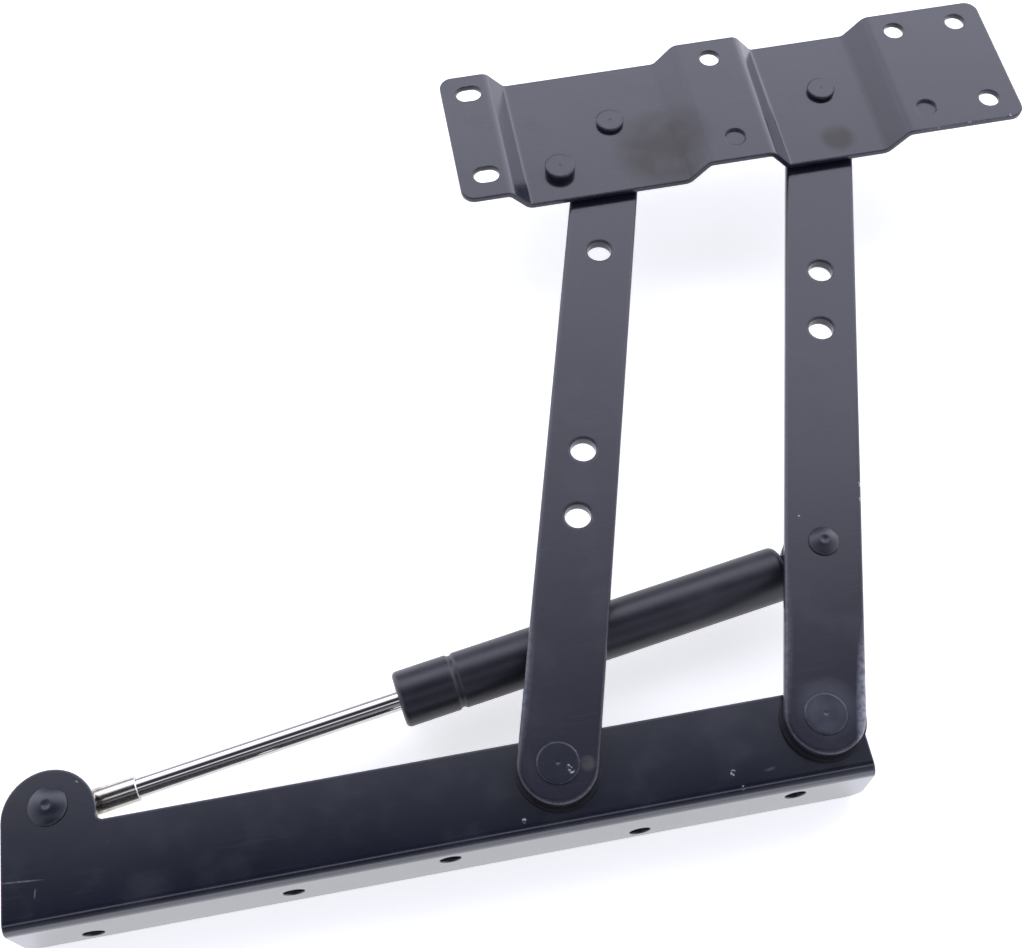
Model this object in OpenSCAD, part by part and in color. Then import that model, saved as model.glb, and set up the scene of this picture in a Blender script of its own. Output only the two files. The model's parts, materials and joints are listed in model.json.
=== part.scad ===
// Lift-top table mechanism, left side of a pair, in its raised position.
// X runs along the base rail from the ear to the right arm, Y from the arms to the flange, Z up.
// The origin is the middle base screw hole, on the underside of the flange.
// Arms and plate lie in front of the rail's web, the gas spring behind it.

/* [Base rail] */
// Length of the rail
rail_l = 316; // [300:1:360]
// Height of the web above the underside of the flange
rail_h = 35; // [34:0.5:40]
// Depth of the flange, from the front face of the web
flange_w = 30; // [28:0.5:40]
// Thickness of the rail's sheet
rail_t = 3; // [2:0.1:4]
// Inside radius of the rail's bend
rail_bend_r = 1.7; // [0.8:0.1:3]
// Corner radius of the flange
flange_corner_r = 6; // [3:0.5:9]
// Radius of the ear that holds the gas spring
ear_r = 17.2; // [15:0.1:19]
// Height of the ear's centre above the web
ear_rise = 4.5; // [3:0.1:8]
// Fillet between the ear and the web
ear_fillet_r = 2.5; // [1:0.1:4]

/* [Base screw holes] */
// Diameter of the base screw holes
base_hole_d = 8; // [6:0.1:9]
// First hole from the ear end of the rail
base_inset = 26; // [22:1:30]
// From the first hole to the second
base_pitch_1 = 74; // [60:1:80]
// From the second hole to the third, which is the origin
base_pitch_2 = 58; // [50:1:64]
// From the fourth hole to the fifth
base_pitch_4 = 58; // [50:1:62]
// Fifth hole from the right end of the rail
base_end_inset = 29; // [24:1:34]
// Front row of holes, from the front face of the web
base_row_front = 11; // [10:0.5:13]
// Middle row of holes
base_row_middle = 16.5; // [15:0.5:18]
// Back row of holes
base_row_back = 22; // [19.5:0.5:23]

/* [Arms] */
// Distance between an arm's two pivots
arm_l = 300; // [280:1:340]
// Width of an arm
arm_w = 30; // [26:0.5:31]
// Thickness of an arm
arm_t = 5; // [4:0.1:6]
// Broken edge of the arms
arm_edge = 0.7; // [0.3:0.1:1.2]
// Distance between the two arms' pivots
pivot_gap = 100; // [94:1:106]
// Height of the lower pivots above the underside of the flange
pivot_h = 23; // [22:0.5:25]
// Right pivot from the right end of the rail
pivot_inset = 14; // [13:0.5:17]
// Angle of the raised arms above the rail
raised_angle = 74.3; // [72:0.1:78]
// Diameter of the cross bar holes in the arms
bar_hole_d = 10.5; // [8:0.1:12]
// First cross bar hole of the left arm, from the lower pivot
left_bar_1 = 100; // [90:1:110]
// Second cross bar hole of the left arm
left_bar_2 = 130; // [125:1:140]
// Third cross bar hole of the left arm
left_bar_3 = 230; // [220:1:236]
// First cross bar hole of the right arm
right_bar_1 = 170; // [160:1:180]
// Second cross bar hole of the right arm
right_bar_2 = 200; // [195:1:210]

/* [Top plate] */
// Thickness of the plate's sheet
plate_t = 2.5; // [2:0.1:3]
// Height of the plate
plate_h = 71.5; // [70:0.5:78]
// Corner radius of the plate
plate_corner_r = 6; // [3:0.5:8]
// Depth of the pressed recesses
press_depth = 10; // [8:0.5:12]
// Run of each slope between a pad and a recess
slope_run = 8.5; // [7:0.1:10]
// Centre line radius of the plate's bends
plate_bend_r = 4; // [2.5:0.1:5]
// Width of the left pad
left_pad_w = 21.5; // [21:0.5:26]
// Width of the left recess
left_recess_w = 72.5; // [70:0.5:78]
// Width of the middle pad
middle_pad_w = 29; // [26:0.5:34]
// Width of the right recess
right_recess_w = 46; // [44:0.5:52]
// Width of the right pad
right_pad_w = 53.5; // [52:0.5:60]
// Left upper pivot from the plate's left edge
plate_pivot_x = 74.4; // [72:0.1:77]
// Upper pivots from the plate's top edge
plate_pivot_drop = 31.5; // [29:0.1:34]
// Diameter of the plate's round holes
plate_hole_d = 9; // [7:0.1:10]
// Width of the plate's slots
slot_w = 8.5; // [7:0.1:9]
// Length of the plate's slots
slot_l = 11.5; // [10:0.1:12.5]
// Upper row of holes from the plate's top edge
plate_row_top = 11; // [9:0.1:13]
// Lower row of holes from the plate's bottom edge
plate_row_bottom = 12.5; // [10:0.1:14]
// Slots from the plate's left edge
slot_inset = 12.5; // [11:0.1:13.5]
// Outer right holes from the plate's right edge
plate_hole_inset = 13; // [11:0.1:15]
// Inner right hole from the outer one
plate_hole_pitch = 29.5; // [27:0.1:31]
// Depth of the half-pierced knock-outs
knockout_depth = 1.2; // [0.8:0.1:1.5]

/* [Pivots] */
// Thickness of the four pivot washers
washer_t = 1.5; // [1:0.1:2.5]
// Diameter of the four pivot washers
washer_d = 32; // [30:0.5:33]
// Diameter of the lower pivot rivets' shanks
lower_rivet_d = 10; // [8:0.1:11]
// Diameter of the lower pivot rivets' heads
lower_head_d = 16; // [14:0.1:18]
// Height of the lower pivot rivets' flat front heads
lower_head_h = 0.8; // [0.5:0.1:1.5]
// Height of the lower pivot rivets' back heads
lower_tail_h = 2.5; // [2:0.1:4]
// Diameter of the centre mark in the lower pivot rivets
centre_mark_d = 1.4; // [1:0.1:2.5]
// Diameter of the upper pivot rivets' shanks
upper_rivet_d = 8; // [7:0.1:9]
// Diameter of the upper pivot rivets' heads
upper_head_d = 12.5; // [11:0.1:14]
// Height of the upper pivot rivets' front heads
upper_head_h = 2; // [1:0.1:4]
// Height of the upper pivot rivets' back heads
upper_tail_h = 2; // [1.5:0.1:3]
// Diameter of the stop pin's head
stop_head_d = 13.5; // [12:0.1:15]
// Height of the stop pin's head
stop_head_h = 3.8; // [3:0.1:6]
// Diameter of the stop pin where the left arm rests on it
stop_pin_d = 10.4; // [9:0.1:12]
// Stop pin from the left upper pivot, along the arm
stop_reach = 30; // [27:0.5:33]

/* [Gas spring] */
// Height of the ear's pivot above the ear's centre
ear_pivot_rise = 3.5; // [2:0.1:5]
// Gas spring's pivot on the right arm, from the lower pivot
strut_reach = 70; // [66:1:74]
// Gas spring's axis behind the front face of the web
strut_depth = 12; // [12:0.1:14]
// Outer diameter of the tube
tube_d = 22; // [20:0.1:22.4]
// Wall of the tube
tube_wall = 1.3; // [1:0.1:1.8]
// Length of the tube
tube_l = 160; // [152:1:163]
// Gap from the tube's closed end to the pivot on the arm
tube_to_pivot = 15; // [14.5:0.1:17]
// Shoulder radius of the tube's closed end
tube_shoulder_r = 3; // [2:0.1:4]
// Thickness of the tube's closed end
tube_floor = 3; // [2:0.1:4]
// Groove that holds the rod guide, from the tube's open end
groove_x = 23; // [21:0.5:26]
// Width of the groove
groove_w = 3; // [2:0.1:4]
// Depth of the groove
groove_depth = 0.7; // [0.4:0.1:0.8]
// Diameter of the piston rod
rod_d = 8; // [7:0.1:8.4]
// Diameter of the rod end's sleeve
sleeve_d = 10; // [9.6:0.1:11]
// Sleeve's end from the ear's pivot
sleeve_reach = 30.6; // [28:0.1:34]
// Diameter of the two spring pins
strut_pin_d = 8; // [7:0.1:9]
// Diameter of the domed head on the ear
ear_head_d = 14.4; // [13:0.1:16]
// Diameter of the domed head on the right arm
arm_head_d = 12; // [11:0.1:13]
// Height of the two domed heads
dome_h = 2.8; // [2:0.1:3.5]
// Diameter of the dimple in the domed heads
dimple_d = 3.6; // [2:0.1:5]
// Outer diameter of the rod end's eye
rod_eye_d = 16; // [14:0.1:18]
// Width of the rod end's eye
rod_eye_w = 7; // [6:0.1:8]
// Outer diameter of the tube end's eye
tube_eye_d = 28; // [24:0.1:29]
// Width of the tube end's eye
tube_eye_w = 8; // [7:0.1:9]
// Height of the weld between the tube and its eye
tube_weld_h = 11; // [9:0.1:14]
// Outer diameter of the bush in the tube end's eye
bush_d = 12; // [11:0.1:14]
// Outer diameter of the spacers at the spring's pivots
spacer_d = 13; // [12:0.1:15]

/* [Clearances] */
// Radial clearance of a pin that turns or slides in its bore
running_gap = 0.08; // [0.03:0.01:0.1]
// Gap between the left arm and the stop pin
stop_gap = 0.3; // [0.2:0.05:0.5]
// Gap between the right arm's spacer and the tube end's eye
eye_gap = 0.3; // [0.2:0.05:0.5]

/* [Hidden] */
$fn = 64;
eps = 0.01;
paint = [0.17, 0.18, 0.22];
arm_paint = [0.25, 0.25, 0.30];
plate_paint = [0.40, 0.40, 0.45];
nickel = [0.75, 0.72, 0.66];
chrome = [0.82, 0.83, 0.86];
bright_steel = [0.62, 0.63, 0.66];
nylon = [0.08, 0.08, 0.09];
rubber = [0.05, 0.05, 0.05];

// Places along X, from the ear end of the rail
rail_x0 = -(base_inset + base_pitch_1 + base_pitch_2);
rail_x1 = rail_x0 + rail_l;
right_pivot_x = rail_x1 - pivot_inset;
left_pivot_x = right_pivot_x - pivot_gap;
ear_x = rail_x0 + ear_r;
ear_z = rail_h + ear_rise;
ear_pivot_z = ear_z + ear_pivot_rise;

// Layers along Y, from the back to the front
web_y = -base_row_front;
web_back_y = web_y + rail_t;
arm_back_y = web_y - washer_t;
arm_front_y = arm_back_y - arm_t;
plate_back_y = arm_front_y - washer_t;
plate_front_y = plate_back_y - plate_t;
pad_front_y = plate_front_y - press_depth;
strut_y = web_y + strut_depth;

// Arm ends and the spring's line in the raised position
arm_dx = arm_l * cos(raised_angle);
arm_dz = arm_l * sin(raised_angle);
left_top = [left_pivot_x + arm_dx, pivot_h + arm_dz];
right_top = [right_pivot_x + arm_dx, pivot_h + arm_dz];
strut_arm_x = right_pivot_x + strut_reach * cos(raised_angle);
strut_arm_z = pivot_h + strut_reach * sin(raised_angle);
strut_l = norm([strut_arm_x - ear_x, strut_arm_z - ear_pivot_z]);
strut_angle = atan2(strut_arm_z - ear_pivot_z, strut_arm_x - ear_x);

// Plate outline
plate_l = left_pad_w + left_recess_w + middle_pad_w + right_recess_w + right_pad_w + 4 * slope_run;
plate_x0 = left_top.x - plate_pivot_x;
plate_x1 = plate_x0 + plate_l;
plate_z1 = left_top.y + plate_pivot_drop;
plate_z0 = plate_z1 - plate_h;
left_recess_x = plate_x0 + left_pad_w + slope_run;
middle_pad_x = left_recess_x + left_recess_w + slope_run;
right_recess_x = middle_pad_x + middle_pad_w + slope_run;
right_pad_x = right_recess_x + right_recess_w + slope_run;
middle_hole_x = middle_pad_x + middle_pad_w / 2;
outer_hole_x = plate_x1 - plate_hole_inset;
inner_hole_x = outer_hole_x - plate_hole_pitch;
top_row_z = plate_z1 - plate_row_top;
bottom_row_z = plate_z0 + plate_row_bottom;

// The stop pin lies beside the left edge of the left arm
stop_side = arm_w / 2 + stop_gap + stop_pin_d / 2;
stop_x = left_top.x - stop_reach * cos(raised_angle) - stop_side * sin(raised_angle);
stop_z = left_top.y - stop_reach * sin(raised_angle) + stop_side * cos(raised_angle);

// Rivet heads
rivet_chamfer = 0.35;
dome_rim = 0.6;
dimple_depth = 0.9;

// Inside the gas spring, along its axis from the ear's pivot
bore_r = tube_d / 2 - tube_wall;
tube_x1 = strut_l - tube_to_pivot;
tube_x0 = tube_x1 - tube_l;
lip_l = 2;
guide_x0 = tube_x0 + lip_l;
guide_x1 = tube_x0 + groove_x + groove_w;
seal_l = 4;
piston_l = 9;
piston_x0 = guide_x1 + seal_l + 2;
piston_nose_l = 3;
ring_w = 3;
ring_depth = 1.6;
rod_seat_l = 12;
rod_neck_l = 3;
rod_tip_x = piston_x0 + piston_l + piston_nose_l;

// Points of one face of a bent sheet. The centre line passes the corners p, rounded to radius r,
// and the face lies at the distance side to its left.
function turn_at(p, i) = let(a = p[i] - p[i - 1], b = p[i + 1] - p[i]) atan2(a.x * b.y - a.y * b.x, a * b);
function heading(p, i) = let(a = p[i + 1] - p[i]) atan2(a.y, a.x);
function left_of(h) = [-sin(h), cos(h)];
function bend_points(p, i, r, side) =
  let(
    t = turn_at(p, i),
    s = sign(t),
    h = heading(p, i - 1),
    start = p[i] - r * tan(abs(t) / 2) * [cos(h), sin(h)],
    centre = start + s * r * left_of(h),
    steps = 8
  )
  [for (k = [0:steps]) centre - s * (r - s * side) * left_of(h + t * k / steps)];
function sheet_face(p, r, side) = [
  p[0] + side * left_of(heading(p, 0)),
  for (i = [1:len(p) - 2]) each bend_points(p, i, r, side),
  p[len(p) - 1] + side * left_of(heading(p, len(p) - 2))
];
function reversed(v) = [for (i = [len(v) - 1:-1:0]) v[i]];
function sheet_outline(p, r, t) = concat(sheet_face(p, r, t / 2), reversed(sheet_face(p, r, -t / 2)));

// Turns a child drawn along +Z so that it runs along +Y from y at the point [x, z]
module along_y(x, y, z) {
  translate([x, y, z]) rotate([-90, 0, 0]) children();
}

module hole_y(x, y, z, d, l) {
  along_y(x, y - eps, z) cylinder(d = d, h = l + 2 * eps);
}

// Local frame of the gas spring: X from the ear's pivot towards the pivot on the right arm
module strut_frame() {
  translate([ear_x, strut_y, ear_pivot_z]) rotate([0, -strut_angle, 0]) children();
}

// Revolves a profile of [distance along the strut, radius] points
module strut_turned(points) {
  strut_frame() rotate([0, 90, 0]) rotate_extrude() polygon([for (q = points) [q.y, q.x]]);
}

// Arc of a profile in degrees, as points
function arc(c, r, a0, a1, steps = 8) =
  [for (k = [0:steps]) let(a = a0 + (a1 - a0) * k / steps) c + r * [cos(a), sin(a)]];

// A rivet along +Y: flat front head with a centre mark, shank and upset back head
module rivet(x, y, z, head_d, head_h, shank_d, shank_l, tail_d, tail_h, mark_d = 1) {
  chamfer = rivet_chamfer;
  along_y(x, y, z)
    rotate_extrude()
      polygon([
        [0, mark_d / 4 - head_h], [mark_d / 2, -head_h],
        [head_d / 2 - chamfer, -head_h], [head_d / 2, -head_h + chamfer], [head_d / 2, 0],
        [shank_d / 2, 0], [shank_d / 2, shank_l], [tail_d / 2, shank_l],
        [tail_d / 2, shank_l + tail_h - chamfer], [tail_d / 2 - chamfer, shank_l + tail_h],
        [0, shank_l + tail_h]
      ]);
}

// Profile of a domed head with a dimple in its middle and a short straight rim, below the line y = 0
function dome_profile(d, h) =
  let(
    rise = h - dome_rim,
    r = (d * d / 4 + rise * rise) / (2 * rise),
    a0 = asin(dimple_d / 2 / r),
    a1 = asin(d / 2 / r),
    steps = 8
  )
  concat(
    [[0, -h + dimple_depth]],
    [for (k = [0:steps]) let(a = a0 + (a1 - a0) * k / steps) [r * sin(a), -h + r - r * cos(a)]],
    [[d / 2, 0]]
  );

module washer(x, y, z, outer_d, inner_d, t) {
  along_y(x, y, z) difference() {
    cylinder(d = outer_d, h = t);
    translate([0, 0, -eps]) cylinder(d = inner_d, h = t + 2 * eps);
  }
}

// Flat bar with two round ends and broken edges, between two pivots along X
module bar(l, w, t, edge) {
  for (x = [0, l]) along_y(x, 0, 0) rotate_extrude()
    polygon([[0, 0], [w / 2 - edge, 0], [w / 2, edge], [w / 2, t - edge], [w / 2 - edge, t], [0, t]]);
  rotate([90, 0, 90]) linear_extrude(l) polygon([
    [edge, -w / 2], [t - edge, -w / 2], [t, edge - w / 2], [t, w / 2 - edge],
    [t - edge, w / 2], [edge, w / 2], [0, w / 2 - edge], [0, edge - w / 2]
  ]);
}

// Places a child along a raised arm, from its lower pivot
module on_arm(pivot_x) {
  translate([pivot_x, arm_back_y - arm_t, pivot_h]) rotate([0, -raised_angle, 0]) children();
}

module arm(pivot_x, holes, lower_d, upper_d) {
  color(arm_paint) on_arm(pivot_x) difference() {
    bar(arm_l, arm_w, arm_t, arm_edge);
    hole_y(0, 0, 0, lower_d, arm_t);
    hole_y(arm_l, 0, 0, upper_d, arm_t);
    for (h = holes) hole_y(h.x, 0, 0, h.y, arm_t);
  }
}

module base_profile() {
  polygon(sheet_outline(
    [[web_y + rail_t / 2, rail_h], [web_y + rail_t / 2, rail_t / 2], [web_y + flange_w, rail_t / 2]],
    rail_bend_r + rail_t / 2, rail_t));
}

// Ear outline in X and Z, with its foot inside the web and a fillet against the web's top
module ear_outline() {
  translate([ear_x, ear_z]) circle(r = ear_r);
  translate([rail_x0, rail_h - rail_t]) square([2 * ear_r, ear_rise + rail_t]);
  translate([rail_x0 + 2 * ear_r, rail_h - rail_t]) difference() {
    square([ear_fillet_r, rail_t + ear_fillet_r]);
    translate([ear_fillet_r, rail_t + ear_fillet_r]) circle(r = ear_fillet_r);
  }
}

module flange_corner(x, side) {
  translate([x, web_y + flange_w, -eps]) mirror([side < 0 ? 1 : 0, 0, 0]) difference() {
    translate([-flange_corner_r, -flange_corner_r, 0])
      cube([flange_corner_r + 1, flange_corner_r + 1, rail_t + 2 * eps]);
    translate([-flange_corner_r, -flange_corner_r, -eps]) cylinder(r = flange_corner_r, h = rail_t + 4 * eps);
  }
}

module base_rail() {
  hole_1 = rail_x0 + base_inset;
  hole_2 = hole_1 + base_pitch_1;
  hole_5 = rail_x1 - base_end_inset;
  holes = [
    [hole_1, base_row_back], [hole_2, base_row_middle], [0, base_row_front],
    [hole_5 - base_pitch_4, base_row_back], [hole_5, base_row_front]
  ];
  color(paint) difference() {
    union() {
      translate([rail_x0, 0, 0]) rotate([90, 0, 90]) linear_extrude(rail_l) base_profile();
      translate([0, web_back_y, 0]) rotate([90, 0, 0]) linear_extrude(rail_t) ear_outline();
    }
    flange_corner(rail_x0, -1);
    flange_corner(rail_x1, 1);
    for (h = holes) translate([h.x, web_y + h.y, -eps]) cylinder(d = base_hole_d, h = rail_t + 2 * eps);
    for (x = [left_pivot_x, right_pivot_x]) hole_y(x, web_y, pivot_h, lower_rivet_d, rail_t);
    hole_y(ear_x, web_y, ear_pivot_z, strut_pin_d, rail_t);
  }
}

module left_arm() {
  arm(left_pivot_x,
    [[left_bar_1, bar_hole_d], [left_bar_2, bar_hole_d], [left_bar_3, bar_hole_d]],
    lower_rivet_d + 2 * running_gap, upper_rivet_d + 2 * running_gap);
}

module right_arm() {
  arm(right_pivot_x,
    [[strut_reach, strut_pin_d], [right_bar_1, bar_hole_d], [right_bar_2, bar_hole_d]],
    lower_rivet_d + 2 * running_gap, upper_rivet_d + 2 * running_gap);
}

// Corrugated section of the plate in X and Y: pads in front, recesses behind
module plate_section() {
  pad = pad_front_y + plate_t / 2;
  recess = plate_front_y + plate_t / 2;
  polygon(sheet_outline([
      [plate_x0, pad], [plate_x0 + left_pad_w, pad],
      [left_recess_x, recess], [left_recess_x + left_recess_w, recess],
      [middle_pad_x, pad], [middle_pad_x + middle_pad_w, pad],
      [right_recess_x, recess], [right_recess_x + right_recess_w, recess],
      [right_pad_x, pad], [plate_x1, pad]
    ], plate_bend_r, plate_t));
}

module rounded_rectangle(l, h, r) {
  translate([r, 0]) square([l - 2 * r, h]);
  translate([0, r]) square([l, h - 2 * r]);
  for (x = [r, l - r], y = [r, h - r]) translate([x, y]) circle(r = r);
}

module slot_y(x, z) {
  y = pad_front_y;
  run = slot_l - slot_w;
  for (side = [-1, 1]) hole_y(x + side * run / 2, y, z, slot_w, plate_t);
  translate([x - run / 2, y - eps, z - slot_w / 2]) cube([run, plate_t + 2 * eps, slot_w]);
}

module top_plate() {
  depth = plate_t + press_depth;
  color(plate_paint) difference() {
    union() {
      intersection() {
        translate([0, 0, plate_z0]) linear_extrude(plate_h) plate_section();
        translate([plate_x0, pad_front_y + depth + 1, plate_z0]) rotate([90, 0, 0])
          linear_extrude(depth + 2) rounded_rectangle(plate_l, plate_h, plate_corner_r);
      }
      for (x = [middle_hole_x, inner_hole_x])
        along_y(x, pad_front_y + knockout_depth, bottom_row_z) cylinder(d = plate_hole_d, h = plate_t);
    }
    for (x = [middle_hole_x, inner_hole_x]) {
      along_y(x, pad_front_y - eps, bottom_row_z) cylinder(d = plate_hole_d, h = knockout_depth + eps);
      hole_y(x, pad_front_y, top_row_z, plate_hole_d, plate_t);
    }
    for (z = [top_row_z, bottom_row_z]) {
      hole_y(outer_hole_x, pad_front_y, z, plate_hole_d, plate_t);
      slot_y(plate_x0 + slot_inset, z);
    }
    for (p = [left_top, right_top]) hole_y(p.x, plate_front_y, p.y, upper_rivet_d, plate_t);
    hole_y(stop_x, plate_front_y, stop_z, upper_rivet_d, plate_t);
  }
}

module base_rivet(x) {
  shank_l = arm_t + washer_t + rail_t;
  color(paint) rivet(x, arm_front_y, pivot_h, lower_head_d, lower_head_h, lower_rivet_d, shank_l,
    lower_head_d, lower_tail_h, centre_mark_d);
}

module left_base_rivet() {
  base_rivet(left_pivot_x);
}

module right_base_rivet() {
  base_rivet(right_pivot_x);
}

module left_base_washer() {
  color(nylon) washer(left_pivot_x, arm_back_y, pivot_h, washer_d, lower_rivet_d, washer_t);
}

module right_base_washer() {
  color(nylon) washer(right_pivot_x, arm_back_y, pivot_h, washer_d, lower_rivet_d, washer_t);
}

module plate_rivet(p) {
  shank_l = plate_t + washer_t + arm_t;
  color(plate_paint) rivet(p.x, plate_front_y, p.y, upper_head_d, upper_head_h, upper_rivet_d, shank_l,
    upper_head_d, upper_tail_h);
}

module left_plate_rivet() {
  plate_rivet(left_top);
}

module right_plate_rivet() {
  plate_rivet(right_top);
}

module plate_washer(p) {
  color(nylon) washer(p.x, plate_back_y, p.y, washer_d, upper_rivet_d, washer_t);
}

module left_plate_washer() {
  plate_washer(left_top);
}

module right_plate_washer() {
  plate_washer(right_top);
}

// The pin's collar stands behind the plate, as far as the back face of the arm
module stop_pin() {
  collar_l = washer_t + arm_t;
  color(plate_paint) rivet(stop_x, plate_front_y, stop_z, stop_head_d, stop_head_h, upper_rivet_d, plate_t,
    stop_pin_d, collar_l);
}

// Domed rivet through the ear, its spacer, the rod end's eye and the back washer
module ear_rivet() {
  shank_l = strut_y + rod_eye_w / 2 + washer_t - web_y;
  tail_r = strut_pin_d / 2 + 2;
  color(paint) along_y(ear_x, web_y, ear_pivot_z) rotate_extrude()
    polygon(concat(dome_profile(ear_head_d, dome_h), [
      [strut_pin_d / 2, 0], [strut_pin_d / 2, shank_l], [tail_r, shank_l],
      [tail_r, shank_l + 1.4], [tail_r - 1, shank_l + 2], [0, shank_l + 2]
    ]));
}

module ear_spacer() {
  l = strut_y - rod_eye_w / 2 - web_back_y;
  color(bright_steel) washer(ear_x, web_back_y, ear_pivot_z, spacer_d, strut_pin_d, l);
}

module ear_washer() {
  color(bright_steel) washer(ear_x, strut_y + rod_eye_w / 2, ear_pivot_z, spacer_d + 1, strut_pin_d, washer_t);
}

// Domed pin in the right arm. It ends at the face of the tube end's eye.
module arm_pin() {
  shank_l = strut_y - tube_eye_w / 2 - eye_gap - arm_front_y;
  color(paint) along_y(strut_arm_x, arm_front_y, strut_arm_z) rotate_extrude()
    polygon(concat(dome_profile(arm_head_d, dome_h), [
      [strut_pin_d / 2, 0], [strut_pin_d / 2, shank_l], [0, shank_l]
    ]));
}

module arm_pin_spacer() {
  l = strut_y - tube_eye_w / 2 - eye_gap - arm_back_y;
  color(bright_steel) washer(strut_arm_x, arm_back_y, strut_arm_z, spacer_d, strut_pin_d, l);
}

// Eye, neck and sleeve in one piece, with a seat for the end of the rod
module rod_end() {
  neck_r = rod_eye_w / 2;
  sleeve_r = sleeve_d / 2;
  sleeve_x0 = rod_eye_d / 2 + rod_neck_l;
  color(nickel) difference() {
    union() {
      strut_frame() along_y(0, -rod_eye_w / 2, 0) cylinder(d = rod_eye_d, h = rod_eye_w);
      strut_turned([
        [0, 0], [0, neck_r], [sleeve_x0 - sleeve_r + neck_r, neck_r], [sleeve_x0, sleeve_r],
        [sleeve_reach - rivet_chamfer, sleeve_r], [sleeve_reach, sleeve_r - rivet_chamfer], [sleeve_reach, 0]
      ]);
    }
    strut_frame() {
      hole_y(0, -rod_eye_w / 2, 0, strut_pin_d + 2 * running_gap, rod_eye_w);
      translate([sleeve_reach - rod_seat_l, 0, 0]) rotate([0, 90, 0]) cylinder(d = rod_d, h = rod_seat_l + 1);
    }
  }
}

module piston_rod() {
  x0 = sleeve_reach - rod_seat_l;
  step_r = rod_d / 2 - 1;
  color(chrome) strut_turned([
    [x0, 0], [x0, rod_d / 2], [piston_x0, rod_d / 2], [piston_x0, step_r],
    [rod_tip_x, step_r], [rod_tip_x, 0]
  ]);
}

// Piston with a ring groove, riveted on the rod's stepped end
module piston() {
  r = bore_r - running_gap;
  inner = rod_d / 2 - 1;
  ring_x0 = piston_x0 + (piston_l - ring_w) / 2;
  color(bright_steel) strut_turned([
    [piston_x0, inner], [piston_x0, r - 0.5], [piston_x0 + 0.5, r],
    [ring_x0, r], [ring_x0, r - ring_depth], [ring_x0 + ring_w, r - ring_depth], [ring_x0 + ring_w, r],
    [piston_x0 + piston_l - 0.5, r], [piston_x0 + piston_l, r - 0.5], [piston_x0 + piston_l, inner]
  ]);
}

module piston_ring() {
  r = bore_r - running_gap;
  ring_x0 = piston_x0 + (piston_l - ring_w) / 2;
  color(rubber) strut_turned([
    [ring_x0, r - ring_depth], [ring_x0, r], [ring_x0 + ring_w, r], [ring_x0 + ring_w, r - ring_depth]
  ]);
}

// One drawn cup: rolled lip and crimped groove at the rod end, round shoulder at the closed end
module spring_tube() {
  r = tube_d / 2;
  groove = tube_x0 + groove_x;
  lip_r = r - tube_wall - 2.2;
  inner_shoulder = max(tube_shoulder_r - tube_wall, 0.5);
  floor_x = tube_x1 - tube_floor;
  color(paint) strut_turned(concat(
    [[tube_x0, lip_r]],
    arc([tube_x0 + lip_l, r - lip_l], lip_l, 180, 90),
    [
      [groove - groove_w / 2, r], [groove - groove_w / 6, r - groove_depth],
      [groove + groove_w / 6, r - groove_depth], [groove + groove_w / 2, r]
    ],
    arc([tube_x1 - tube_shoulder_r, r - tube_shoulder_r], tube_shoulder_r, 90, 0),
    [[tube_x1, 0], [floor_x, 0]],
    arc([floor_x - inner_shoulder, bore_r - inner_shoulder], inner_shoulder, 0, 90),
    [
      [groove + groove_w / 2, bore_r], [groove + groove_w / 6, bore_r - groove_depth],
      [groove - groove_w / 6, bore_r - groove_depth], [groove - groove_w / 2, bore_r],
      [guide_x0, bore_r], [guide_x0, lip_r]
    ]));
}

// Bushing that carries the rod, locked by the tube's groove
module rod_guide() {
  groove = tube_x0 + groove_x;
  bore = rod_d / 2 + running_gap;
  color(bright_steel) strut_turned([
    [guide_x0, bore], [guide_x0, bore_r],
    [groove - groove_w / 2, bore_r], [groove - groove_w / 6, bore_r - groove_depth],
    [groove + groove_w / 6, bore_r - groove_depth], [groove + groove_w / 2, bore_r],
    [guide_x1, bore_r], [guide_x1, bore]
  ]);
}

module rod_seal() {
  bore = rod_d / 2 + running_gap;
  color(rubber) strut_turned([
    [guide_x1, bore], [guide_x1, bore_r], [guide_x1 + seal_l, bore_r], [guide_x1 + seal_l, bore + 1],
    [guide_x1 + seal_l / 2, bore]
  ]);
}

// Ring welded to the tube's closed end
module tube_eye() {
  color(paint) strut_frame() difference() {
    union() {
      along_y(strut_l, -tube_eye_w / 2, 0) cylinder(d = tube_eye_d, h = tube_eye_w);
      translate([tube_x1, -tube_eye_w / 2, -tube_weld_h / 2])
        cube([tube_to_pivot - bush_d / 2 - 1, tube_eye_w, tube_weld_h]);
    }
    hole_y(strut_l, -tube_eye_w / 2, 0, bush_d, tube_eye_w);
  }
}

module eye_bush() {
  color(nickel) strut_frame()
    washer(strut_l, -tube_eye_w / 2, 0, bush_d, strut_pin_d + 2 * running_gap, tube_eye_w);
}

base_rail();
left_arm();
right_arm();
top_plate();
left_base_rivet();
right_base_rivet();
left_base_washer();
right_base_washer();
left_plate_rivet();
right_plate_rivet();
left_plate_washer();
right_plate_washer();
stop_pin();
ear_rivet();
ear_spacer();
ear_washer();
arm_pin();
arm_pin_spacer();
rod_end();
piston_rod();
piston();
piston_ring();
spring_tube();
rod_guide();
rod_seal();
tube_eye();
eye_bush();
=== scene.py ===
"""Lift-top table mechanism: camera, light, finishes and small details over the CAD frame.

Run as a script. The frame is loaded first, then one operator for each group of pieces dresses it.
Everything is in metres, in the CAD model's frame: X along the base rail, Z up, the arms on the -Y side.
Places and sizes of marks on the surfaces are in millimetres in the same frame.
"""

import json
import math
import bpy
from mathutils import Euler, Matrix, Vector


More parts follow.
